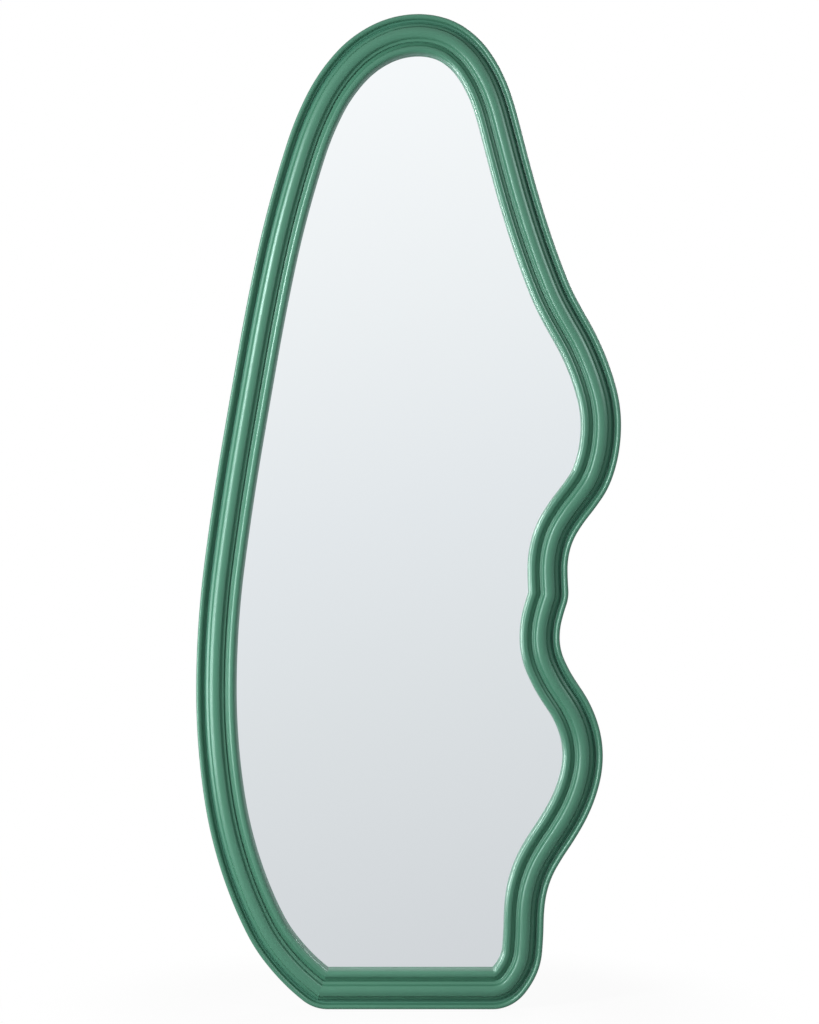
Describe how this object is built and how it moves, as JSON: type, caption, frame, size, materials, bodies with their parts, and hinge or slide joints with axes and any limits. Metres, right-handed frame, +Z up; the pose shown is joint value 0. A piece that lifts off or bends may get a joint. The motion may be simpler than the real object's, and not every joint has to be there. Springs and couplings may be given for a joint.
{
  "type": "wall mirror",
  "caption": "Tall wall mirror with a wavy outline, a ribbed lacquered frame, a flat foot and swinging ring hangers on its back.",
  "frame": {"origin": "middle of the object's box at its foot: mid width, halfway from the crown of the ribs to the wall, underside of the bottom rail", "axes": "+X to the right as the mirror is looked at, +Y from the viewer towards the wall, +Z up"},
  "size_m": [0.726, 0.045, 1.7],
  "materials": {
    "lacquer": "satin green lacquer on milled fibreboard",
    "beech": "turned, bare",
    "silvered_glass": "polished float glass, silvered on the back",
    "foam_tape": "matt closed-cell tape",
    "rubber": "matt",
    "film": "woven-backed safety film",
    "foam": "soft foam sheet",
    "fibreboard": "bare hardboard",
    "zinc_steel": "zinc plated"
  },
  "bodies": {
    "mirror": {"frame_crown_right": "lacquer", "frame_upper_right": "lacquer", "frame_right_bulge": "lacquer", "frame_upper_waist": "lacquer", "frame_lower_waist": "lacquer", "frame_lower_bulge": "lacquer", "frame_lower_right": "lacquer", "frame_bottom_rail": "lacquer", "frame_lower_left": "lacquer", "frame_middle_left": "lacquer", "frame_upper_left": "lacquer", "frame_crown_left": "lacquer", "frame_dowels": "beech", "mirror_glass": "silvered_glass", "glazing_tape": "foam_tape", "setting_blocks": "rubber", "safety_film": "film", "foam_sheet": "foam", "backing_board": "fibreboard", "board_screws": "zinc_steel", "hanger_strap_left": "zinc_steel", "hanger_strap_right": "zinc_steel", "hanger_screws": "zinc_steel", "wall_bumpers": "rubber"},
    "left_ring": {"hanger_ring_left": "zinc_steel"},
    "right_ring": {"hanger_ring_right": "zinc_steel"}
  },
  "joints": [
    {"name": "left_ring_swing", "type": "hinge", "parent": "mirror", "child": "left_ring", "pos_m": [-0.2215, 0.01855, 1.36], "axis": [1, 0, 0], "range_deg": [0, 180]},
    {"name": "right_ring_swing", "type": "hinge", "parent": "mirror", "child": "right_ring", "pos_m": [0.21034, 0.01855, 1.36], "axis": [1, 0, 0], "range_deg": [0, 180]}
  ]
}
